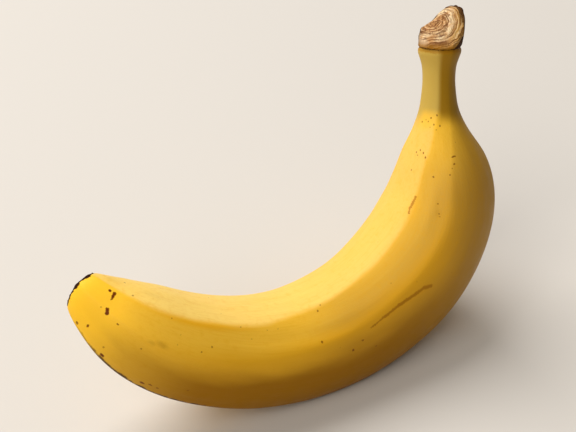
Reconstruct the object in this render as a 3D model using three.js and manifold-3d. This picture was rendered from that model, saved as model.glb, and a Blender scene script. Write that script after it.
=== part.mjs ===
// A ripe banana, lying as a single fruit lies on a table: on the lower flank of its
// belly, with the stem and the blossom end both clear of the surface.
// Millimetres, +Z up, origin on the surface under the middle of the fruit.

import * as THREE from 'three';
import { NURBSCurve } from 'three/addons/curves/NURBSCurve.js';
import { mergeVertices } from 'three/addons/utils/BufferGeometryUtils.js';
import Module from 'manifold-3d';

// How the fruit lies. The plane that it curves in leans back from the surface.
const LEAN_ANGLE = 69;
const TURN_ANGLE = 31;
const FLAT_DEPTH = 0.4;

// The centre line runs from the crease at the top of the stem to the blossom end. It is a
// smooth spline that these points pull into shape: each says how far across, up and forward
// of the plane of the curve. The blossom end bends back out of that plane.
const CENTRE_LINE = [
  [61.8, 73, 0],
  [56.8, 51, 0],
  [56.7, 34, 0],
  [51, 19.5, 0],
  [34, 5, 0],
  [9.5, -1.5, 0],
  [-14.5, 1, 0],
  [-37.5, 10.5, 0],
  [-56.6, 26.5, -0.7],
  [-63, 39.2, -8],
];
const SPLINE_DEGREE = 3;

// Radius over the ridges, at its distance from the crease along the centre line.
const RADII = [
  [0, 6.6],
  [0.8, 6.9],
  [2, 6.8],
  [4.5, 5.7],
  [8, 5.2],
  [12, 5.4],
  [18, 6.4],
  [24, 9],
  [29, 12],
  [34, 14.5],
  [42, 17.2],
  [52, 19],
  [65, 20],
  [80, 19.8],
  [98, 19],
  [119, 17.9],
  [139, 17.2],
  [159, 16.2],
  [170, 14.6],
  [179, 11.7],
  [185, 9],
  [189, 6.3],
];

// Five ridges run the length of the fruit. Angles go round from the side that faces
// forward and up, towards the outside of the curve. On the body a ridge swings over from
// its angle at the two ends. Height is a share of the radius, and flatness says how nearly
// straight the face is from that ridge to the next. The fruit rests on its flattest face.
const RIDGES = [
  { angle: -112, swing: -6, height: 0.98, flatness: 0.42 },
  { angle: -35, swing: -26, height: 1, flatness: 0.42 },
  { angle: 2, swing: -24, height: 0.985, flatness: 0.42 },
  { angle: 70, swing: 0, height: 0.985, flatness: 0.85 },
  { angle: 151, swing: 0, height: 0.99, flatness: 0.42 },
];
const SWING_START = 12;
const SWING_FULL = 40;
const SWING_WANES = 75;
const SWING_END = 185;
const STEM_FLATNESS = 0.7;
const STUB_FLATNESS = 0.3;
const STEM_LENGTH = 20;

// The dry stub above the crease leans outward a little. It is torn off on a slant, low on
// the inside of the curve and high on the outside, and the tear dips in front.
const STUB_RADIUS = 7;
const STUB_RIM_RADIUS = 6.8;
const STUB_FACE_RADIUS = 3.8;
const STUB_MEAN_HEIGHT = 8.8;
const STUB_RISE = 4.1;
const STUB_LOW_ANGLE = -90;
const STUB_DIP = 3.5;
const STUB_DIP_ANGLE = -30;
const STUB_LEAN = 0.1;
const STUB_BULGE = 1;

// The scar at the blossom end: a dry rim round a shallow dish.
const SCAR_RIM_RADIUS = 5.6;
const SCAR_RIM_HEIGHT = 0.7;
const SCAR_DISH_RADIUS = 4;
const SCAR_DISH_DEPTH = 0.6;

// Rings of skin, closer together at the stem and the blossom end.
const STEPS_PER_FACE = 8;
const STEM_STEP = 1.5;
const NECK_END = 34;
const NECK_STEP = 2.3;
const BODY_STEP = 3.6;
const TIP_START = 176;
const TIP_STEP = 1.6;

const SKIN_COLOUR = '#e3b935';
const SKIN_ROUGHNESS = 0.5;

const toRadians = THREE.MathUtils.degToRad;
const mix = THREE.MathUtils.lerp;
const { smoothstep } = THREE.MathUtils;

// The knots are evenly spaced, and repeated at each end so that the spline reaches it.
function evenKnots(pointCount) {
  const spans = pointCount - SPLINE_DEGREE;
  const inner = Array.from({ length: spans + 1 }, (_, i) => i / spans);
  const start = Array(SPLINE_DEGREE).fill(0);
  const end = Array(SPLINE_DEGREE).fill(1);
  return [...start, ...inner, ...end];
}

const centreLine = new NURBSCurve(
  SPLINE_DEGREE,
  evenKnots(CENTRE_LINE.length),
  CENTRE_LINE.map((point) => new THREE.Vector4(...point, 1)),
);
const fruitLength = centreLine.getLength();
const radii = new THREE.CubicInterpolant(
  RADII.map(([distance]) => distance),
  RADII.map(([, radius]) => radius),
  1,
);

function radiusAt(distance) {
  return radii.evaluate(distance)[0];
}

// Places past either end lie straight on from it.
function centreAt(distance) {
  const share = THREE.MathUtils.clamp(distance / fruitLength, 0, 1);
  const onward = distance - share * fruitLength;
  const direction = centreLine.getTangentAt(share);
  const centre = centreLine.getPointAt(share).addScaledVector(direction, onward);
  return { centre, direction };
}

// The faces are at their flattest on the body, and rounder on the stem and the stub.
function flatnessShareAt(ring) {
  if (ring.stubShare > 0) {
    return STUB_FLATNESS;
  }
  const body = smoothstep(ring.distance, STEM_LENGTH, NECK_END);
  return mix(STEM_FLATNESS, 1, body);
}

function swingShareAt(distance) {
  const waxing = smoothstep(distance, SWING_START, SWING_FULL);
  const waning = smoothstep(distance, SWING_WANES, SWING_END);
  return waxing * (1 - waning);
}

function ridgeAngleAt(ridge, distance) {
  return toRadians(ridge.angle + ridge.swing * swingShareAt(distance));
}

// A point of the section, as shares of the radius: forward, and outward of the curve.
// Between two ridges the skin runs part-way between a round arc and a straight line.
function sectionPoint(ring, step) {
  const face = Math.floor(step / STEPS_PER_FACE);
  const share = (step % STEPS_PER_FACE) / STEPS_PER_FACE;
  const here = RIDGES[face];
  const next = RIDGES[(face + 1) % RIDGES.length];
  const angleHere = ridgeAngleAt(here, ring.distance);
  let angleNext = ridgeAngleAt(next, ring.distance);
  if (angleNext < angleHere) {
    angleNext += 2 * Math.PI;
  }
  const chord = onCircle(angleHere, here.height)
    .lerp(onCircle(angleNext, next.height), share);
  const arc = onCircle(
    mix(angleHere, angleNext, share),
    mix(here.height, next.height, share),
  );
  return arc.lerp(chord, here.flatness * flatnessShareAt(ring));
}

function onCircle(angle, radius) {
  return new THREE.Vector2(radius * Math.cos(angle), radius * Math.sin(angle));
}

// Height of the tear over the crease, at a place of the section. The slant and the dip
// both fade towards the middle.
function stubHeight(section, radius) {
  const angle = Math.atan2(section.y, section.x);
  const slant = STUB_RISE * Math.cos(angle - toRadians(STUB_LOW_ANGLE));
  const front = Math.max(Math.cos(angle - toRadians(STUB_DIP_ANGLE)), 0);
  const fall = (slant + STUB_DIP * front ** 2) * (radius / STUB_RADIUS);
  return STUB_MEAN_HEIGHT - fall;
}

// A ring is a place along the centre line and a radius. On the stub, its share of the
// height takes it up to the tear.
function ringPoint(ring, step) {
  const section = sectionPoint(ring, step);
  const height = ring.stubShare * stubHeight(section, ring.radius);
  const { centre, direction } = centreAt(ring.distance - height);
  const outward = new THREE.Vector3(-direction.y, direction.x, 0).normalize();
  const forward = direction.clone().cross(outward);
  return centre
    .addScaledVector(forward, ring.radius * section.x)
    .addScaledVector(outward, ring.radius * section.y + STUB_LEAN * height);
}

function skinRings() {
  const distances = [0, 0.8, 2, 3.2];
  const zones = [
    { end: STEM_LENGTH, step: STEM_STEP },
    { end: NECK_END, step: NECK_STEP },
    { end: TIP_START, step: BODY_STEP },
    { end: fruitLength, step: TIP_STEP },
  ];
  for (const zone of zones) {
    const start = distances.at(-1);
    const count = Math.round((zone.end - start) / zone.step);
    for (let i = 1; i <= count; i += 1) {
      distances.push(mix(start, zone.end, i / count));
    }
  }
  return distances.map((distance) => ({
    distance,
    radius: radiusAt(distance),
    stubShare: 0,
  }));
}

function allRings() {
  return [
    { distance: -STUB_BULGE, radius: STUB_FACE_RADIUS, stubShare: 1 },
    { distance: 0, radius: STUB_RIM_RADIUS, stubShare: 1 },
    { distance: 0, radius: STUB_RADIUS, stubShare: 0.6 },
    { distance: 0, radius: STUB_RADIUS, stubShare: 0.15 },
    ...skinRings(),
    { distance: fruitLength + SCAR_RIM_HEIGHT, radius: SCAR_RIM_RADIUS, stubShare: 0 },
    { distance: fruitLength - SCAR_DISH_DEPTH, radius: SCAR_DISH_RADIUS, stubShare: 0 },
  ];
}

// The skin is a cylinder whose rows of vertices are moved onto the rings.
function fruitGeometry() {
  const rings = allRings();
  const stepsRound = STEPS_PER_FACE * RIDGES.length;
  const geometry = new THREE.CylinderGeometry(1, 1, 1, stepsRound, rings.length - 1);
  const { position } = geometry.attributes;
  const vertex = new THREE.Vector3();
  for (let i = 0; i < position.count; i += 1) {
    vertex.fromBufferAttribute(position, i);
    const ring = rings[Math.round((0.5 - vertex.y) * (rings.length - 1))];
    const turn = Math.atan2(vertex.x, vertex.z) / (2 * Math.PI);
    const step = Math.round((turn + 1) * stepsRound) % stepsRound;
    const isPole = Math.hypot(vertex.x, vertex.z) < 0.5;
    const point = isPole ? middleOf(ring, stepsRound) : ringPoint(ring, step);
    position.setXYZ(i, point.x, point.y, point.z);
  }
  return geometry;
}

function middleOf(ring, stepsRound) {
  const middle = new THREE.Vector3();
  for (let step = 0; step < stepsRound; step += 1) {
    middle.addScaledVector(ringPoint(ring, step), 1 / stepsRound);
  }
  return middle;
}

const wasm = await Module();
wasm.setup();

function toSolid(geometry) {
  const bare = geometry.clone();
  bare.deleteAttribute('normal');
  bare.deleteAttribute('uv');
  const merged = mergeVertices(bare, 1e-4);
  return new wasm.Manifold(new wasm.Mesh({
    numProp: 3,
    vertProperties: new Float32Array(merged.attributes.position.array),
    triVerts: new Uint32Array(merged.index.array),
  }));
}

function toGeometry(solid) {
  const { vertProperties, triVerts } = solid.getMesh();
  const geometry = new THREE.BufferGeometry();
  geometry.setAttribute('position', new THREE.BufferAttribute(vertProperties, 3));
  geometry.setIndex(new THREE.BufferAttribute(triVerts, 1));
  geometry.computeVertexNormals();
  return geometry;
}

// The fruit is leaned and turned into place, then flattened where it rests.
function lyingFruit() {
  const geometry = fruitGeometry();
  geometry.rotateX(toRadians(LEAN_ANGLE));
  geometry.rotateZ(toRadians(TURN_ANGLE));
  geometry.computeBoundingBox();
  const { min, max } = geometry.boundingBox;
  geometry.translate(-(min.x + max.x) / 2, -(min.y + max.y) / 2, -min.z - FLAT_DEPTH);

  const size = max.distanceTo(min);
  const ground = new THREE.BoxGeometry(size, size, size);
  ground.translate(0, 0, -size / 2);
  return toGeometry(toSolid(geometry).subtract(toSolid(ground)));
}

const skin = new THREE.MeshStandardMaterial({
  color: SKIN_COLOUR,
  roughness: SKIN_ROUGHNESS,
  metalness: 0,
});
const banana = new THREE.Mesh(lyingFruit(), skin);
banana.name = 'banana';

const model = new THREE.Group();
model.add(banana);

export default model;
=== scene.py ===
import math
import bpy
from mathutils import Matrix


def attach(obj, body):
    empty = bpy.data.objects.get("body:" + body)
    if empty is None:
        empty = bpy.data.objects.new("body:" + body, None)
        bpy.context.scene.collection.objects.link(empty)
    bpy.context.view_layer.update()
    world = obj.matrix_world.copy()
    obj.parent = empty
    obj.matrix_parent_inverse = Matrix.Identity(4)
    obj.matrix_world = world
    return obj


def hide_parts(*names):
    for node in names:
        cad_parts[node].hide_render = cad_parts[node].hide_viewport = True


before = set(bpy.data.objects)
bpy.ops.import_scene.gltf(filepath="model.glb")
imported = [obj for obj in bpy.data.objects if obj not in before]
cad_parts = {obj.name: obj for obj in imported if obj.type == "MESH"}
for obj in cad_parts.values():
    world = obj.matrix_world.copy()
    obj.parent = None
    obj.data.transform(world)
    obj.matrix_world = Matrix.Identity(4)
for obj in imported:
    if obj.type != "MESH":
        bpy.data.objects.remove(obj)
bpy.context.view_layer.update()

from types import SimpleNamespace

import bmesh
import bpy
from mathutils import Vector, noise

# A ripe banana on its side. The fruit is grown straight, ring by ring, then bent along its
# centre line, leaned and turned into place, and pressed flat where it rests.
# Lengths are in millimetres and angles in degrees until a mesh or a light is placed.
MM = 0.001

# How the fruit lies: its plane leans back by LEAN and turns about Z by TURN, and its own
# origin then stands at PLACE, from the middle of the surface that it lies on.
LEAN = 69
TURN = 31
PLACE = (5.179, -16.564, 14.456)

# The centre line starts in the top of the stem, just past the crease, and ends in the blossom
# end: how far across, up and forward of the plane that the fruit curves in.
CENTRE_LINE = [
    (61.8, 73, 0), (56.8, 51, 0), (56.7, 34, 0), (51, 19.5, 0), (34, 5, 0),
    (9.5, -1.5, 0), (-14.5, 1, 0), (-37.5, 10.5, 0), (-56.6, 26.5, -0.7), (-63, 39.2, -8),
]
CENTRE_LINE_ORDER = 4
CENTRE_LINE_STEPS = 48

# Radius over the ridges, at its distance from the start of the centre line. The first is
# the crease, and the last is where the skin ends.
RADII = [
    (-1.4, 6.35), (-0.9, 6.8), (-0.2, 6.9), (0.7, 6.75), (3.4, 5.7), (8, 5.2), (12, 5.4),
    (18, 6.4), (24, 9), (29, 12), (34, 14.5), (42, 17.2), (52, 19), (65, 20), (80, 19.8),
    (98, 19), (119, 17.9), (139, 17.2), (159, 16.2), (170, 14.6), (179, 11.7), (184.5, 9.2),
    (187, 7.6), (188.05, 6.3),
]
BLOSSOM_SLOPE = -1.5
CREASE = RADII[0][0]
FRUIT_LENGTH = RADII[-1][0]
# The blossom end is cut on a slant: how far its near side stands out, and where that starts.
END_SLANT = 2.8
END_SLANT_START = 180.5

# Angles go round from the side that faces forward and up, towards the outside of the curve.
# On the body each ridge swings over from its angle at the two ends, and comes back. Its
# height is a share of the radius, and its flatness is that of the face after it: 0 is round.
RIDGES = [
    {"angle": -112, "swing": -6, "height": 0.98, "flatness": 0.42},
    {"angle": -35, "swing": -26, "height": 1, "flatness": 0.42},
    {"angle": 2, "swing": -24, "height": 0.985, "flatness": 0.42},
    {"angle": 70, "swing": 0, "height": 0.985, "flatness": 0.85},
    {"angle": 151, "swing": 0, "height": 0.99, "flatness": 0.42},
]
SWING_RISES = (12, 40)
SWING_FALLS = (75, 185)
# The stem and the stub are rounder, and the faces grow flat in the neck.
STEM_FLATNESS = 0.7
STUB_FLATNESS = 0.3
FLATNESS_RISES = (20, 34)
STEPS_PER_FACE = 8
STEPS_ROUND = STEPS_PER_FACE * len(RIDGES)
SUBDIVISIONS = 2

# The dry stub above the crease leans outward a little. The tear is low on the inside of the
# curve and high on the outside, with two dips: the angle, depth and sharpness of each.
STUB_RADIUS = 7
STUB_HEIGHT = 7.9
STUB_RISE = 4.6
STUB_LOW_ANGLE = -70
STUB_DIPS = [(0, 4.6, 2), (-174, 2.9, 6)]
STUB_LEAN = 0.1

# Rings of the stub, from the middle of the tear down to the crease: how far the ring stands
# above the slanted tear, its radius, and its share of the stub's height.
STUB_RINGS = [
    (0.4, 1.2, 1), (0.5, 2.8, 1), (0.5, 4.3, 1), (0.3, 5.5, 1), (0, 6.3, 0.985),
    (0, 6.8, 0.93), (0, 7, 0.84), (0, 7.05, 0.65), (0, 7.05, 0.42), (0, 6.95, 0.2),
    (0, 6.8, 0.06),
]
# Rings of skin: where each zone ends and how far apart its rings are.
SKIN_ZONES = [(0.6, 0.5), (20, 1.6), (34, 2.4), (175, 4), (187, 1.5), (FRUIT_LENGTH, 0.5)]
# Rings of the scar at the blossom end: how far past the end of the skin, and the radius.
SCAR_RINGS = [(0.3, 5.5), (0.5, 5), (0.4, 4.3), (-0.3, 3), (-0.1, 1.3)]

# A hard knob on the edge of the scar, and the middle of the rings of torn fibre, as places
# on the straight fruit: along, outward and forward. The spread is in square millimetres.
KNOB = (189.3, -5.5, 2.6)
KNOB_HEIGHT = 0.9
KNOB_SPREAD = 1.2
FIBRE_CENTRE = (-8.5, -1.8, -1.3)

# The tear reaches out to this radius, and past it comes the wall of the stub.
TEAR_RADIUS = 6.5
STUB_END = CREASE - 0.3

# Relief: how finely it repeats along and across the fruit, and how far it stands out.
SCAR_LUMPS = [(0.9, 0.9, 0.35), (0.35, 0.35, 0.4)]
SCAR_LUMPS_RADIUS = 4
FIBRE_WARP = (0.3, 0.3, 1.2)
FIBRE_RIPPLES = (0.9, 0.9, 0.4)
STUB_GROOVES = (0.15, 0.7, 0.4)
SKIN_RELIEF = [(0.05, 0.05, 0.3), (0.02, 0.35, 0.12)]
SKIN_RELIEF_GROWS = (2, 30)

# The camera looks along Y and down.
CAMERA_PLACE = (-1.14, -365.02, 355.44)
CAMERA_DOWN = 40
CAMERA_LENS = 100
CAMERA_SENSOR = 36

# Two square soft lights, aimed at the middle of the fruit: place, size, power and colour.
LIGHTS = {
    "key_light": ((-700, 690, 1420), 1400, 35, (1, 0.96, 0.9)),
    "fill_light": ((-700, -1100, 1250), 1200, 18, (1, 0.93, 0.82)),
}
LIGHT_TARGET = (0, 0, 30)
WORLD_COLOUR = (1, 0.95, 0.88, 1)
WORLD_STRENGTH = 0.16
FLOOR_SIZE = 3000
FLOOR_COLOUR = (0.62, 0.6, 0.58, 1)
FLOOR_ROUGHNESS = 0.8

# Colours as a screen shows them, from 0 to 255. Some stand in for light: the deep yellow low
# down, the darker neck, the stem's darker side and the deeper ridge colour are painted shade,
# and the paler inner colours are partly painted light.
COLOURS = {
    "ripe": (240, 189, 58), "lit_inner": (238, 191, 94), "pale": (250, 214, 116),
    "golden": (224, 164, 18), "neck_shade": (204, 158, 60), "lower": (154, 104, 0),
    "back": (226, 176, 48), "tip": (250, 196, 48), "stem": (194, 164, 78),
    "stem_shade_side": (156, 116, 24), "ridge": (238, 174, 20), "freckle": (108, 48, 0),
    "scratch": (156, 94, 2), "bruise": (164, 114, 22), "black": (44, 17, 2),
    "ash": (70, 50, 34), "cream": (244, 222, 182), "fibre": (196, 148, 98),
    "bark": (104, 60, 26), "olive": (182, 140, 52), "wall": (206, 178, 146),
    "collar": (160, 108, 14), "crease": (50, 22, 6),
}

# Where a colour starts, where it ends, and how soft its edges are. Round the fruit that is
# counted in faces from the first ridge, so each ridge is a whole number.
# Partly painted light: the paler inner face, which is also its own paler colour.
INNER_FACE = (0.02, 1.02, 0.08)
# Painted shade: the deep yellow low on the fruit.
LOWER_SHADE_FACE = (2.15, 3.2, 0.3)
BACK_FACES = (3.2, 4.9, 0.2)
# Painted shade: the stem's sides away from the light.
STEM_SHADE_SIDES = (1.12, 4.8, 0.25)
# The same along the fruit.
# Painted shade: darker on the middle and lower faces towards the neck.
NECK_SHADE = (30, 112, 12)
COLLAR_BAND = (CREASE - 0.4, CREASE + 1.1, 0.4)
# Patches: round the fruit and then along it, and how strong the colour is there.
# Painted shade: a golden band where the middle face turns into shade at the next ridge.
GOLDEN_SHADE_BAND = ((1.75, 2.2, 0.25), (50, 160, 20), 0.7)
# Painted shade: a deeper golden line just past the first ridge, below the pale inner face, in
# two stretches.
RIDGE_EDGE_SHADE = ((0.98, 1.16, 0.09), (142, 172, 12), 0.7)
RIDGE_GLOW_SHADE = ((0.9, 1.2, 0.15), (44, 57, 5), 0.25)
STEM_RING = ((0.3, 1.2, 0.2), (17.5, 22, 1.5), 0.5)
DARK_RIDGE = ((3, 3.11, 0.025), (142, 180, 8), 1)
# On the stub: a ring by its distance from FIBRE_CENTRE, and two sides by angle, in radians.
PALE_RING = (5.4, 8, 1.3)
OLIVE_SIDE = (0, 1.7, 0.5)
FACING_SIDE = (-1.9, 0.9, 0.3)

# How a colour grows or fades along the fruit: from where to where, and its two strengths.
# The painted light on the inner face grows towards the blossom end.
PALE_LIGHT_GROWS = (80, 160, 0, 1)
# The painted shade low on the fruit is weaker towards the neck and towards the blossom end.
LOWER_SHADE_GROWS = (50, 100, 0.45, 1)
LOWER_SHADE_FADES = (148, 178, 1, 0.35)
TIP_GROWS = (176, 192, 0, 1)
STEM_FADES = (20, 26, 1, 0)
# The same round the fruit.
# The neck's painted shade deepens away from the inner face.
NECK_SHADE_DEEPENS = (1, 1.9, 0.5, 1)

# How far the edges of colours wander, in faces or in millimetres.
FACE_WANDER = 0.3
TIP_WANDER = 14
STEM_WANDER = 6
DARK_RIDGE_WANDER = 0.16
SCAR_WANDER = 2.6
FIBRE_WANDER = 1.6
STUB_RIM_WANDER = 1.2

# Fine jitter of all marks: how finely it repeats, and how far it moves a place, in
# millimetres on the straight fruit, or in millimetres along and radians round.
JITTER_SCALE = 1.6
JITTER = (0.9, 0.9, 0.9)
UNROLLED_JITTER = (0.6, 0.05, 0)

# Patterns drawn out along the fruit: how finely they repeat along and across it.
CLOUDS = (0.04, 0.12)
STREAKS = (0.05, 1.5)
HAIRS = (0.06, 4)
GRAIN = (0.06, 1.3)
SHREDS = (0.4, 1.44)
COARSE_FIBRE = (0.8, 2.5)
# Patterns that are the same all ways.
MOTTLE_SCALE = 0.5
FRECKLE_SCALE = 0.3
FIBRE_SCALE = 2.3
WAX_SCALE = 0.3
PORE_SCALE = 2.2

# The crease is dark from CREASE_TOP until it fades out over CREASE_ENDS. A wedge of painted
# shade stands up from it at the back of the stub, and its angles are in radians.
CREASE_TOP = CREASE - 0.1
CREASE_ENDS = (CREASE - 0.05, CREASE + 0.25)
SHADE_WEDGE_HEIGHT = 3.4
SHADE_WEDGE_RISES = (0, 0.72)
SHADE_WEDGE_FALLS = (1.1, 1.8)

# The scar turns black over SCAR_STARTS, and all of it is black within SCAR_MIDDLE, which
# counts only at the blossom end. Its ashen face fades out over the radii of SCAR_FACE.
SCAR_STARTS = (FRUIT_LENGTH + 0.05, FRUIT_LENGTH + 0.35)
SCAR_MIDDLE = (4.4, 5.2)
SCAR_MIDDLE_STARTS = (183, 184)
SCAR_FACE = (3.5, 5)

# Roughness where the wax is thick and where it is thin, and what a dry place adds to it.
WAX_ROUGHNESS = (0.4, 0.5)
DRY_ROUGHNESS = 0.3
# Height of the fine relief, in millimetres.
PORE_HEIGHT = 0.02
GRAIN_HEIGHT = 0.05
FIBRE_HEIGHT = 0.35
# Numbers that the whole fruit shares, by their socket.
SKIN_FINISH = {
    "Specular IOR Level": 0.08, "Subsurface Weight": 0.06,
    "Subsurface Radius": (1, 0.6, 0.15), "Subsurface Scale": 1.2 * MM,
}

# Oval marks: distance along, angle, length along, width round and strength.
MARKS = [
    (183.2, -26.8, 0.8, 0.7, 1), (181.8, -26.5, 1, 1.2, 1), (181.7, -22, 0.8, 1.4, 1),
    (181.6, -17.5, 0.5, 0.9, 0.9), (180.9, -0.4, 0.9, 1.4, 1), (180.5, 3.2, 1, 1.4, 1),
    (181.7, 43.9, 0.6, 1.3, 0.9), (183.9, 60.4, 0.8, 1, 0.8),
    (177, 6, 0.6, 0.6, 0.8), (182.4, 2.7, 0.5, 0.5, 0.5), (177.6, -38.9, 0.6, 0.6, 0.6),
    (180.8, -66.2, 0.6, 0.8, 0.6), (176, 47.7, 0.5, 0.8, 0.5), (174.9, 60.5, 1.2, 1.2, 1),
    (163.8, 58, 1.4, 0.9, 0.9), (162, 54.8, 1.1, 0.7, 0.8), (160, 55, 0.7, 0.6, 0.6),
    (18.2, -38.6, 0.6, 0.5, 0.7), (20.6, -81.8, 0.6, 0.5, 0.7), (19.1, -55.1, 0.5, 0.5, 0.8),
    (21.3, -31.5, 0.6, 0.5, 0.7), (20.2, -62, 0.5, 0.4, 0.6), (20.9, -46, 0.5, 0.4, 0.7),
    (19.8, -70, 0.4, 0.4, 0.5), (21.6, -55, 0.4, 0.4, 0.5), (22.3, -40, 0.4, 0.4, 0.5),
    (28.6, -75, 0.5, 0.5, 0.8), (27.9, -68, 0.5, 0.5, 0.8), (28.5, -61, 0.6, 0.5, 0.8),
    (29.5, -56, 0.6, 0.5, 0.8), (29.3, -71, 0.4, 0.4, 0.6), (33.6, -76, 0.5, 0.5, 0.7),
    (29.8, -13.9, 0.5, 1.5, 0.8), (31.8, -15.4, 0.6, 0.8, 0.8), (34.7, -23.4, 0.5, 0.5, 0.7),
    (35, -43.2, 0.5, 0.5, 0.7), (44.6, -37, 0.6, 0.6, 0.6), (48.9, -34.4, 0.7, 0.6, 0.6),
    (50, -33, 0.5, 0.5, 0.4), (110.6, -53.9, 0.6, 0.5, 0.6), (112.4, -48.9, 0.7, 0.6, 0.8),
    (115, -19.4, 0.8, 0.7, 0.8), (155.5, -9.7, 0.6, 0.6, 0.6), (152.8, -17, 0.6, 0.6, 0.6),
    (104.9, 0.3, 0.9, 0.8, 0.8), (101.1, -5.6, 0.8, 0.7, 0.7), (97.2, 9.9, 0.7, 0.7, 0.6),
    (60, 128, 1.2, 0.8, 0.7), (92, 172, 1.6, 1, 0.8), (128, 140, 0.9, 0.8, 0.7),
    (46, -150, 0.9, 0.7, 0.6), (150, -140, 1, 0.8, 0.7), (176, 150, 1.3, 0.9, 0.9),
    (182, -130, 1, 0.8, 0.8), (108, 96, 1.1, 0.9, 0.6), (72, 60, 0.8, 0.7, 0.6),
]
SMUDGES = [
    (166, -2, 2.8, 1.6, 0.35), (168.3, 1.1, 2, 1.2, 0.25), (172, -58, 6, 2.6, 0.1),
    (48.6, -35.5, 3, 1.8, 0.15), (84, 150, 8, 4, 0.4), (140, 118, 7, 3, 0.35),
]
MARK_SOFTNESS = 0.3
SMUDGE_SOFTNESS = 0.8

# Thin lines on the skin: points as distance along and angle, widths between them, strength.
SCRATCHES = [
    # A crack on the ridge near the neck.
    {
        "points": [(42.6, -60.8), (46.4, -62), (50, -62.9), (53.4, -61.7)],
        "widths": (0.8, 0.9, 0.6),
        "strength": 0.7,
    },
    # A curved scratch across the middle of the body.
    {
        "points": [
            (97.4, -13.3), (92.4, -15.7), (86, -16.5), (82.3, -15.3), (78.7, -13.3),
            (75.3, -11.5), (73.2, -6.7),
        ],
        "widths": (0.5, 0.8, 1, 1, 1, 1.2),
        "strength": 0.7,
    },
    # A scratch on the far side.
    {
        "points": [(98, 128), (106, 124), (115, 126), (122, 131)],
        "widths": (0.6, 0.8, 0.5),
        "strength": 0.75,
    },
]


def mix(start, end, share):
    return start + (end - start) * share


def smoothstep(value, start, end):
    share = min(max((value - start) / (end - start), 0), 1)
    return share * share * (3 - 2 * share)


def radius_at(distance):
    """A smooth line through RADII, level at the crease and steep at the blossom end."""
    last = len(RADII) - 1
    span = next((i for i in range(last) if distance <= RADII[i + 1][0]), last - 1)

    def slope(i):
        if i in (0, last):
            return BLOSSOM_SLOPE if i else 0
        (x0, y0), (x1, y1), (x2, y2) = RADII[i - 1:i + 2]
        return ((y1 - y0) / (x1 - x0) + (y2 - y1) / (x2 - x1)) / 2

    (start, radius), (end, next_radius) = RADII[span:span + 2]
    width = end - start
    share = min(max((distance - start) / width, 0), 1)
    rest = 1 - share
    return (
        (1 + 2 * share) * rest ** 2 * radius
        + share * rest ** 2 * width * slope(span)
        + share * share * (3 - 2 * share) * next_radius
        - share * share * rest * width * slope(span + 1)
    )


def ridge_angle(ridge, distance):
    swing = smoothstep(distance, *SWING_RISES) * (1 - smoothstep(distance, *SWING_FALLS))
    return math.radians(ridge["angle"] + ridge["swing"] * swing)


def on_circle(angle, radius):
    return Vector((math.cos(angle), math.sin(angle))) * radius


def section_point(distance, step, flatness_share):
    """How far forward and outward the skin is, as shares of the radius."""
    face, share = divmod(step / STEPS_PER_FACE, 1)
    here = RIDGES[int(face)]
    beyond = RIDGES[(int(face) + 1) % len(RIDGES)]
    angle = ridge_angle(here, distance)
    next_angle = ridge_angle(beyond, distance)
    if next_angle < angle:
        next_angle += 2 * math.pi
    chord = on_circle(angle, here["height"]).lerp(on_circle(next_angle, beyond["height"]), share)
    arc = on_circle(
        mix(angle, next_angle, share), mix(here["height"], beyond["height"], share)
    )
    return arc.lerp(chord, here["flatness"] * flatness_share)


def stub_height(angle, radius):
    """Height of the tear over the crease. Its slant and dips fade towards the middle."""
    fall = STUB_RISE * math.cos(angle - math.radians(STUB_LOW_ANGLE))
    for dip_angle, depth, sharpness in STUB_DIPS:
        nearness = max(math.cos(angle - math.radians(dip_angle)), 0)
        fall += depth * nearness ** sharpness
    return STUB_HEIGHT - fall * radius / STUB_RADIUS


def end_slant(forward):
    """How much further along the slanted end is, this far forward of its middle."""
    return END_SLANT * forward / RADII[-1][1]


def skin_distances():
    distances = [CREASE]
    for end, gap in SKIN_ZONES:
        start = distances[-1]
        count = round((end - start) / gap)
        distances += [mix(start, end, (i + 1) / count) for i in range(count)]
    return distances


def all_rings():
    """Each ring is its distance, radius and share of the stub's height."""
    rings = [(CREASE - rise, radius, share) for rise, radius, share in STUB_RINGS]
    rings += [(distance, radius_at(distance), 0) for distance in skin_distances()]
    rings += [(FRUIT_LENGTH + past, radius, 0) for past, radius in SCAR_RINGS]
    return rings


def ring_point(ring, step):
    """A point of the straight fruit: along, outward and forward."""
    distance, radius, stub_share = ring
    if stub_share:
        flatness_share = STUB_FLATNESS
    else:
        flatness_share = mix(STEM_FLATNESS, 1, smoothstep(distance, *FLATNESS_RISES))
    forward, outward = section_point(distance, step, flatness_share)
    angle = math.atan2(outward, forward)
    height = stub_share * stub_height(angle, radius)
    lean = STUB_LEAN * height
    slant = end_slant(forward * radius) * smoothstep(distance, END_SLANT_START, FRUIT_LENGTH)
    return Vector((distance - height + slant, outward * radius + lean, forward * radius))


def bumps(place, along_scale, across_scale, height):
    """Smooth noise of this height, at a place on the straight fruit."""
    along, outward, forward = place
    point = Vector((along * along_scale, outward * across_scale, forward * across_scale))
    return noise.noise(point) * height


def relief(place):
    """How far the surface stands out at a place on the straight fruit."""
    along, outward, forward = place
    radius = math.hypot(outward, forward)
    if along - end_slant(forward) > FRUIT_LENGTH:
        lumps = sum(bumps(place, *kind) for kind in SCAR_LUMPS)
        knob = math.exp(-(place - Vector(KNOB)).length_squared / KNOB_SPREAD)
        return lumps * min(radius / SCAR_LUMPS_RADIUS, 1) + knob * KNOB_HEIGHT
    if along < STUB_END and radius < TEAR_RADIUS:
        ring = (place - Vector(FIBRE_CENTRE)).length + bumps(place, *FIBRE_WARP)
        return bumps((ring, 0, 0), *FIBRE_RIPPLES)
    if along < STUB_END:
        return bumps(place, *STUB_GROOVES)
    skin = sum(bumps(place, *kind) for kind in SKIN_RELIEF)
    return skin * smoothstep(along, *SKIN_RELIEF_GROWS)


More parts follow.
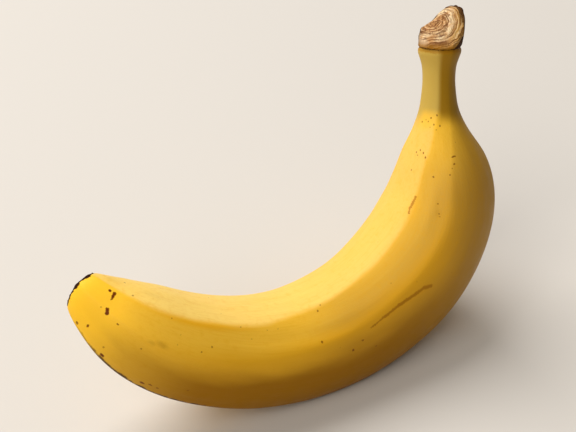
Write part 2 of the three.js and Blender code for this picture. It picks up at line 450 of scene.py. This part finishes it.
def pick_only(piece):
    bpy.ops.object.select_all(action="DESELECT")
    piece.select_set(True)
    bpy.context.view_layer.objects.active = piece


def draw_centre_line():
    bpy.ops.object.select_all(action="DESELECT")
    bpy.ops.curve.primitive_nurbs_path_add()
    line = bpy.context.object
    line.name = "centre_line"
    line.data.twist_mode = "Z_UP"
    spline = line.data.splines[0]
    spline.points.add(len(CENTRE_LINE) - len(spline.points))
    for point, place in zip(spline.points, CENTRE_LINE):
        point.co = (*(Vector(place) * MM), 1)
    spline.order_u = CENTRE_LINE_ORDER
    spline.use_endpoint_u = True
    spline.resolution_u = CENTRE_LINE_STEPS
    return line


def shape_ring(fruit, ring):
    """Moves the selected ring of vertices onto the section of the fruit there."""
    cage = bmesh.from_edit_mesh(fruit.data)
    steps = cage.verts.layers.int["step"]
    for vertex in cage.verts:
        if vertex.select:
            vertex.co = ring_point(ring, vertex[steps]) * MM
    bmesh.update_edit_mesh(fruit.data)


def close_pole():
    bpy.ops.mesh.extrude_edges_move()
    bpy.ops.mesh.merge(type="CENTER")


def grow_straight_fruit():
    """Extrudes the fruit from the middle of the tear to the scar, with a pole at each end."""
    bpy.ops.object.select_all(action="DESELECT")
    bpy.ops.mesh.primitive_circle_add(vertices=STEPS_ROUND, radius=STUB_RINGS[0][1] * MM)
    fruit = bpy.context.object
    fruit.name = "banana_fruit"
    step = fruit.data.attributes.new("step", "INT", "POINT")
    step.data.foreach_set("value", range(STEPS_ROUND))
    rings = all_rings()
    bpy.ops.object.mode_set(mode="EDIT")
    bpy.ops.mesh.select_all(action="SELECT")
    shape_ring(fruit, rings[0])
    for ring in rings[1:]:
        bpy.ops.mesh.extrude_edges_move()
        shape_ring(fruit, ring)
    close_pole()
    bpy.ops.mesh.select_all(action="DESELECT")
    bpy.ops.mesh.select_non_manifold()
    close_pole()
    bpy.ops.mesh.select_all(action="SELECT")
    bpy.ops.mesh.normals_make_consistent(inside=False)
    bpy.ops.object.mode_set(mode="OBJECT")
    return fruit


def map_ridges(fruit):
    """A UV map: u counts faces round from the first ridge, and v is the distance along."""
    mesh = fruit.data
    steps = mesh.attributes["step"].data
    ridge_map = mesh.uv_layers.new(name="ridge_map")
    for face in mesh.polygons:
        values = [steps[mesh.loops[loop].vertex_index].value for loop in face.loop_indices]
        crosses_seam = max(values) - min(values) > STEPS_ROUND / 2
        for loop, value in zip(face.loop_indices, values):
            if crosses_seam and value < STEPS_ROUND / 2:
                value += STEPS_ROUND
            along = mesh.vertices[mesh.loops[loop].vertex_index].co.x / MM
            ridge_map.data[loop].uv = (value / STEPS_PER_FACE, along)
    mesh.attributes.remove(mesh.attributes["step"])


def apply_modifier(piece, kind, **settings):
    pick_only(piece)
    modifier = piece.modifiers.new(kind.lower(), kind)
    for name, value in settings.items():
        setattr(modifier, name, value)
    bpy.ops.object.modifier_apply(modifier=modifier.name)


def remember_straight_shape(fruit):
    """Keeps each point's place on the straight fruit, in millimetres, for the materials."""
    grown = fruit.data.attributes.new("grown", "FLOAT_VECTOR", "POINT")
    for vertex in fruit.data.vertices:
        grown.data[vertex.index].vector = vertex.co / MM


def wrinkle(fruit):
    """Moves each point of the straight fruit out or in by its relief."""
    normals = [vertex.normal.copy() for vertex in fruit.data.vertices]
    for vertex, normal in zip(fruit.data.vertices, normals):
        vertex.co += normal * relief(vertex.co / MM) * MM


def lay_down(fruit):
    """Leans and turns the bent fruit into place, and presses flat what is under the floor."""
    fruit.rotation_euler = (math.radians(LEAN), 0, math.radians(TURN))
    fruit.location = Vector(PLACE) * MM
    pick_only(fruit)
    bpy.ops.object.transform_apply(location=True, rotation=True, scale=True)
    bpy.ops.object.mode_set(mode="EDIT")
    bpy.ops.mesh.select_all(action="DESELECT")
    skin = bmesh.from_edit_mesh(fruit.data)
    for vertex in skin.verts:
        vertex.select = vertex.co.z < 0
    skin.select_flush_mode()
    bmesh.update_edit_mesh(fruit.data)
    bpy.ops.transform.resize(value=(1, 1, 0), center_override=(0, 0, 0))
    bpy.ops.object.mode_set(mode="OBJECT")


def linear(name):
    """One of COLOURS in linear light, as the shader wants it."""
    channels = []
    for value in COLOURS[name]:
        share = value / 255
        if share < 0.04:
            channels.append(share / 12.92)
        else:
            channels.append(((share + 0.055) / 1.055) ** 2.4)
    return (*channels, 1)


class Shader:
    """Adds nodes to a material and joins them up."""

    def __init__(self, material):
        material.use_nodes = True
        self.tree = material.node_tree
        self.surface = self.tree.nodes["Principled BSDF"]

    def feed(self, socket, value):
        if isinstance(value, bpy.types.NodeSocket):
            self.tree.links.new(value, socket)
        else:
            socket.default_value = value

    def add(self, kind, inputs, **settings):
        node = self.tree.nodes.new("ShaderNode" + kind)
        for name, value in settings.items():
            setattr(node, name, value)
        for name, value in inputs.items():
            self.feed(node.inputs[name], value)
        return node

    def math(self, operation, *values):
        return self.add("Math", dict(enumerate(values)), operation=operation).outputs[0]

    def vector(self, operation, *values):
        node = self.add("VectorMath", dict(enumerate(values)), operation=operation)
        is_number = operation in ("LENGTH", "DISTANCE", "DOT_PRODUCT")
        return node.outputs["Value" if is_number else "Vector"]

    def times(self, *values):
        product = values[0]
        for value in values[1:]:
            product = self.math("MULTIPLY", product, value)
        return product

    def shift(self, value, pattern, amount):
        """The value, moved on by an amount of the pattern."""
        return self.math("MULTIPLY_ADD", pattern, amount, value)

    def rise(self, value, start, end, low=0, high=1):
        """Goes smoothly from low to high as the value goes from start to end."""
        inputs = {
            "Value": value, "From Min": start, "From Max": end, "To Min": low, "To Max": high,
        }
        return self.add("MapRange", inputs, interpolation_type="SMOOTHSTEP").outputs[0]

    def fall(self, value, start, end, high=1, low=0):
        """Goes smoothly from high to low as the value goes from start to end."""
        return self.rise(value, start, end, high, low)

    def between(self, value, start, end, edge):
        """1 from start to end, and 0 outside, with soft edges."""
        opens = self.rise(value, start - edge, start + edge)
        closes = self.fall(value, end - edge, end + edge)
        return self.times(opens, closes)

    def noise(self, place, scale, detail=2):
        return self.add("TexNoise", {"Vector": place, "Scale": scale, "Detail": detail}).outputs

    def streaks(self, place, along_scale, across_scale, detail=2):
        """Noise that is drawn out along the fruit."""
        stretched = self.vector("MULTIPLY", place, (along_scale, across_scale, across_scale))
        return self.noise(stretched, 1, detail)[0]

    def tint(self, base, colour, share):
        if isinstance(colour, str):
            colour = linear(colour)
        return self.add("Mix", {0: share, 6: base, 7: colour}, data_type="RGBA").outputs[2]


def patch(shader, around, along, spans):
    """The mask of a soft-edged patch, from its spans round the fruit and along it."""
    around_span, along_span, strength = spans
    inside = shader.between(around, *around_span)
    return shader.times(inside, shader.between(along, *along_span), strength)


def oval(shader, unrolled, mark, edge):
    """The mask of a soft-edged oval mark on the unrolled skin."""
    along, angle, length, width, strength = mark
    offset = shader.vector("SUBTRACT", unrolled, (along, math.radians(angle), 0))
    scale = (2 / length, 2 * radius_at(along) / width, 0)
    reach = shader.vector("LENGTH", shader.vector("MULTIPLY", offset, scale))
    return shader.fall(reach, 1 - edge, 1 + edge, strength)


def ovals(shader, unrolled, marks, edge):
    """One mask for all marks. Each oval is joined on at once, which keeps the shader small."""
    top = oval(shader, unrolled, marks[0], edge)
    for mark in marks[1:]:
        top = shader.math("MAXIMUM", top, oval(shader, unrolled, mark, edge))
    return top


def thin_line(shader, unrolled, points, widths):
    """The mask of a line on the unrolled skin, through points at a distance and an angle.

    It fades out between a quarter and three quarters of its width from its middle.
    """
    radius = radius_at(points[0][0])
    flat = shader.vector("MULTIPLY", unrolled, (1, radius, 0))
    places = [Vector((along, math.radians(angle) * radius, 0)) for along, angle in points]
    top = 0
    for start, end, width in zip(places, places[1:], widths):
        run = end - start
        offset = shader.vector("SUBTRACT", flat, start)
        share = shader.vector("DOT_PRODUCT", offset, run / run.length_squared)
        share = shader.math("MINIMUM", shader.math("MAXIMUM", share, 0), 1)
        shares = shader.add("CombineXYZ", {0: share, 1: share}).outputs[0]
        nearest = shader.vector("MULTIPLY", shares, run)
        gap = shader.vector("DISTANCE", offset, nearest)
        mask = shader.fall(gap, width * 0.25, width * 0.75)
        top = shader.math("MAXIMUM", top, mask)
    return top


def small_freckles(shader, place):
    """Tiny scattered dots, the same all round the fruit."""
    cells = shader.add("TexVoronoi", {"Vector": place, "Scale": FRECKLE_SCALE}, feature="F1")
    dot = shader.fall(cells.outputs["Distance"], 0.03, 0.09)
    luck = shader.add("SeparateColor", {0: cells.outputs["Color"]}).outputs[0]
    return shader.times(dot, shader.rise(luck, 0.4, 1, high=0.6))


def read_places(shader):
    """What the paint goes by: places on the straight fruit, plain, rough and unrolled."""
    place = shader.add("Attribute", {}, attribute_name="grown").outputs["Vector"]
    ridge_map = shader.add("UVMap", {}, uv_map="ridge_map").outputs[0]
    around = shader.add("SeparateXYZ", {0: ridge_map}).outputs[0]
    jitter = shader.noise(place, JITTER_SCALE)[1]
    jitter = shader.vector("SUBTRACT", jitter, (0.5, 0.5, 0.5))
    rough_place = shader.vector("MULTIPLY_ADD", jitter, JITTER, place)
    along, outward, forward = shader.add("SeparateXYZ", {0: place}).outputs
    angle = shader.math("ARCTAN2", outward, forward)
    unrolled = shader.add("CombineXYZ", {0: along, 1: angle}).outputs[0]
    return SimpleNamespace(
        place=place, rough_place=rough_place, along=along, forward=forward,
        around=around, angle=angle,
        rough_along=shader.add("SeparateXYZ", {0: rough_place}).outputs[0],
        radius=shader.vector("LENGTH", shader.vector("MULTIPLY", place, (0, 1, 1))),
        unrolled=shader.vector("MULTIPLY_ADD", jitter, UNROLLED_JITTER, unrolled),
        clouds=shader.streaks(place, *CLOUDS),
        mottle=shader.noise(place, MOTTLE_SCALE, 3)[0],
    )


def paint_faces(shader, at):
    """The ripe skin with streaks: paler on the inside of the curve, partly its own colour and
    partly painted light, and deep yellow low down and darker towards the neck, which are painted
    shade.
    """
    wander = shader.math("MULTIPLY_ADD", at.clouds, FACE_WANDER, -FACE_WANDER / 2)
    around = shader.math("ADD", at.around, wander)
    # Partly painted light: the inner face is paler, more so towards the blossom end.
    lit_inner = shader.between(around, *INNER_FACE)
    pale = shader.tint(linear("lit_inner"), "pale", shader.rise(at.along, *PALE_LIGHT_GROWS))
    # Painted shade: the middle and lower faces darken towards the neck.
    neck_shade = shader.times(shader.between(at.along, *NECK_SHADE), shader.rise(around, *NECK_SHADE_DEEPENS))
    colour = shader.tint(linear("ripe"), "neck_shade", neck_shade)
    colour = shader.tint(colour, pale, lit_inner)

    streaks = shader.streaks(at.place, *STREAKS)
    hairs = shader.streaks(at.place, *HAIRS)
    colour = shader.tint(colour, "golden", shader.rise(streaks, 0.5, 0.75, high=0.18))
    colour = shader.tint(colour, "golden", shader.rise(hairs, 0.45, 0.7, high=0.15))
    colour = shader.tint(colour, "golden", shader.rise(at.mottle, 0.5, 0.8, high=0.25))

    # Painted shade: deep yellow low on the fruit, weaker towards both ends.
    lower = shader.times(
        shader.between(around, *LOWER_SHADE_FACE), shader.rise(at.along, *LOWER_SHADE_GROWS),
        shader.rise(at.along, *LOWER_SHADE_FADES),
    )
    colour = shader.tint(colour, "lower", lower)
    colour = shader.tint(colour, "back", shader.between(around, *BACK_FACES))
    # Painted shade: a golden band where the middle face turns into shade.
    colour = shader.tint(colour, "golden", patch(shader, around, at.along, GOLDEN_SHADE_BAND))
    tip = shader.rise(shader.shift(at.along, at.clouds, TIP_WANDER), *TIP_GROWS)
    tip = shader.times(tip, shader.fall(lit_inner, 0, 1, low=0.25))
    return shader.tint(colour, "tip", tip)


def paint_ridge_and_stem(shader, at, colour):
    """A deeper golden line just past the first ridge in two places, which is painted shade, and
    the greenish stem, painted darker on its sides away from the light, with its lighter ring.
    """
    # Painted shade: a deeper golden line just past the first ridge, where the inner face turns.
    for spans in (RIDGE_EDGE_SHADE, RIDGE_GLOW_SHADE):
        colour = shader.tint(colour, "ridge", patch(shader, at.around, at.along, spans))
    # Painted shade: the stem is darker on its sides away from the light.
    stem_shade_side = shader.between(at.around, *STEM_SHADE_SIDES)
    stem_colour = shader.tint(linear("stem"), "stem_shade_side", stem_shade_side)
    stem = shader.rise(shader.shift(at.along, at.clouds, STEM_WANDER), *STEM_FADES)
    colour = shader.tint(colour, stem_colour, stem)
    return shader.tint(colour, "tip", patch(shader, at.around, at.along, STEM_RING))


def paint_marks(shader, at, colour):
    """Smudges, scratches, the broken dark line on a ridge, freckles and spots."""
    smudges = ovals(shader, at.unrolled, SMUDGES, SMUDGE_SOFTNESS)
    colour = shader.tint(colour, "bruise", smudges)
    for scratch in SCRATCHES:
        line = thin_line(shader, at.unrolled, scratch["points"], scratch["widths"])
        colour = shader.tint(colour, "scratch", shader.times(line, scratch["strength"]))
    around = shader.shift(at.around, at.mottle, DARK_RIDGE_WANDER)
    breaks = shader.rise(at.mottle, 0.3, 0.45, 0.3, 0.9)
    dark_ridge = shader.times(patch(shader, around, at.along, DARK_RIDGE), breaks)
    colour = shader.tint(colour, "black", dark_ridge)
    colour = shader.tint(colour, "freckle", small_freckles(shader, at.rough_place))
    return shader.tint(colour, "freckle", ovals(shader, at.unrolled, MARKS, MARK_SOFTNESS))


def paint_stub(shader, at, height):
    """The dry torn stub: pale fibres on the tear, and a dark edge round the back of it."""
    warp = shader.noise(at.place, 0.35)[0]
    ring = shader.vector("DISTANCE", at.place, FIBRE_CENTRE)
    ring = shader.shift(ring, warp, FIBRE_WANDER)
    turn = shader.math("MULTIPLY", at.angle, 0.35)
    fibre_place = shader.add("CombineXYZ", {0: ring, 1: turn}).outputs[0]
    fibres = shader.noise(fibre_place, FIBRE_SCALE, 3)[0]
    shreds = shader.streaks(at.place, *SHREDS, 3)
    patches = shader.noise(at.place, 0.3)[0]

    pale = shader.times(shader.between(ring, *PALE_RING), shader.fall(patches, 0.4, 0.7), 0.85)
    colour = shader.tint(linear("fibre"), "cream", pale)
    olive = shader.times(
        shader.between(at.angle, *OLIVE_SIDE), shader.rise(at.radius, 3, 6), 0.6
    )
    colour = shader.tint(colour, "olive", olive)
    colour = shader.tint(colour, "bark", shader.rise(fibres, 0.46, 0.62, high=0.85))
    colour = shader.tint(colour, "cream", shader.fall(fibres, 0.36, 0.46, high=0.35))
    strokes = shader.times(shader.rise(shreds, 0.5, 0.64), shader.fall(ring, 5, 6.6, 0.7, 0.3))
    colour = shader.tint(colour, "bark", strokes)

    wall = shader.times(shader.fall(at.angle, -1.5, -1), shader.rise(at.radius, 6.3, 6.7))
    colour = shader.tint(colour, "wall", wall)
    rim = shader.rise(shader.shift(at.radius, warp, STUB_RIM_WANDER), 6, 6.6)
    behind = shader.math("SUBTRACT", 1, shader.between(at.angle, *FACING_SIDE))
    colour = shader.tint(colour, "crease", shader.times(rim, behind, 0.85))
    return shader.tint(colour, "collar", shader.fall(height, 0.6, 2.2, high=0.75))


def paint_crease(shader, at, colour):
    """The brown collar, and the dark crease with a wedge of painted shade that stands up the
    back.
    """
    collar = shader.between(at.rough_along, *COLLAR_BAND)
    colour = shader.tint(colour, "collar", shader.times(collar, 0.7))
    # Painted shade: a wedge on the wall at the back of the stub.
    shade_wedge = shader.times(
        shader.rise(at.angle, *SHADE_WEDGE_RISES), shader.fall(at.angle, *SHADE_WEDGE_FALLS)
    )
    past_top = shader.math(
        "SUBTRACT", at.rough_along, shader.shift(CREASE_TOP, shade_wedge, -SHADE_WEDGE_HEIGHT)
    )
    crease = shader.times(
        shader.rise(past_top, -0.25, 0.1), shader.fall(at.rough_along, *CREASE_ENDS)
    )
    return shader.tint(colour, "crease", shader.times(crease, 0.9))


def scar_mask(shader, at):
    """1 past the slanted end of the skin, with an uneven edge, and in all of the middle."""
    past = shader.shift(at.rough_along, at.forward, -end_slant(1))
    past = shader.shift(past, shader.noise(at.place, 0.4, 1)[0], SCAR_WANDER)
    middle = shader.times(
        shader.fall(at.radius, *SCAR_MIDDLE), shader.rise(at.along, *SCAR_MIDDLE_STARTS)
    )
    return shader.math("MAXIMUM", shader.rise(past, *SCAR_STARTS), middle)


def paint_scar(shader, at, colour, scar):
    """A near-black rim, and an ashen middle."""
    colour = shader.tint(colour, "black", scar)
    face = shader.times(scar, shader.fall(at.radius, *SCAR_FACE, high=0.6))
    return shader.tint(colour, "ash", face)


def finish_skin(shader, at, dry):
    """Satin and finely pored where it is skin, dull and coarse where it is dry."""
    wax = shader.noise(at.place, WAX_SCALE, 3)[0]
    roughness = shader.shift(shader.rise(wax, 0.3, 0.7, *WAX_ROUGHNESS), dry, DRY_ROUGHNESS)
    shader.feed(shader.surface.inputs["Roughness"], roughness)
    pores = shader.noise(at.place, PORE_SCALE)[0]
    grain = shader.streaks(at.place, *GRAIN)
    coarse = shader.times(shader.streaks(at.place, *COARSE_FIBRE, 3), dry)
    height = shader.shift(shader.times(grain, GRAIN_HEIGHT), pores, PORE_HEIGHT)
    height = shader.shift(height, coarse, FIBRE_HEIGHT)
    bump = shader.add("Bump", {"Height": height, "Distance": MM, "Strength": 1})
    shader.feed(shader.surface.inputs["Normal"], bump.outputs[0])
    for socket, value in SKIN_FINISH.items():
        shader.surface.inputs[socket].default_value = value


def skin_material():
    material = bpy.data.materials.new("ripe_skin")
    shader = Shader(material)
    at = read_places(shader)
    skin = paint_faces(shader, at)
    skin = paint_ridge_and_stem(shader, at, skin)
    skin = paint_marks(shader, at, skin)
    height = shader.math("SUBTRACT", CREASE, at.along)
    on_stub = shader.rise(height, -0.1, 0.1)
    colour = shader.tint(skin, paint_stub(shader, at, height), on_stub)
    colour = paint_crease(shader, at, colour)
    scar = scar_mask(shader, at)
    colour = paint_scar(shader, at, colour, scar)
    shader.feed(shader.surface.inputs["Base Color"], colour)
    finish_skin(shader, at, shader.math("MAXIMUM", on_stub, scar))
    return material


def build_fruit():
    fruit = grow_straight_fruit()
    map_ridges(fruit)
    apply_modifier(fruit, "SUBSURF", levels=SUBDIVISIONS, render_levels=SUBDIVISIONS)
    remember_straight_shape(fruit)
    wrinkle(fruit)
    line = draw_centre_line()
    apply_modifier(fruit, "CURVE", object=line, deform_axis="POS_X")
    bpy.data.objects.remove(line)
    lay_down(fruit)
    pick_only(fruit)
    bpy.ops.object.shade_smooth()
    fruit.data.materials.clear()
    fruit.data.materials.append(skin_material())
    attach(fruit, "root")
    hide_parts("banana")


def lay_floor():
    bpy.ops.object.select_all(action="DESELECT")
    bpy.ops.mesh.primitive_plane_add(size=FLOOR_SIZE * MM)
    floor = bpy.context.object
    floor.name = "floor"
    material = bpy.data.materials.new("pale_floor")
    surface = Shader(material).surface
    surface.inputs["Base Color"].default_value = FLOOR_COLOUR
    surface.inputs["Roughness"].default_value = FLOOR_ROUGHNESS
    floor.data.materials.append(material)


def hang_light(name, place, size, power, colour):
    place = Vector(place) * MM
    target = Vector(LIGHT_TARGET) * MM
    bpy.ops.object.light_add(type="AREA", location=place)
    light = bpy.context.object
    light.name = name
    light.rotation_euler = (place - target).to_track_quat("Z", "Y").to_euler()
    light.data.size = size * MM
    light.data.energy = power
    light.data.color = colour


def light_studio():
    for name, (place, size, power, colour) in LIGHTS.items():
        hang_light(name, place, size, power, colour)
    world = bpy.data.worlds.new("studio")
    world.use_nodes = True
    background = world.node_tree.nodes["Background"]
    background.inputs["Color"].default_value = WORLD_COLOUR
    background.inputs["Strength"].default_value = WORLD_STRENGTH
    bpy.context.scene.world = world


def set_view():
    bpy.context.scene.view_settings.view_transform = "Standard"


def set_camera():
    place = Vector(CAMERA_PLACE) * MM
    tilt = (math.radians(90 - CAMERA_DOWN), 0, 0)
    bpy.ops.object.camera_add(location=place, rotation=tilt)
    camera = bpy.context.object
    camera.data.lens = CAMERA_LENS
    camera.data.sensor_width = CAMERA_SENSOR
    bpy.context.scene.camera = camera


set_camera()
set_view()
lay_floor()
light_studio()
build_fruit()
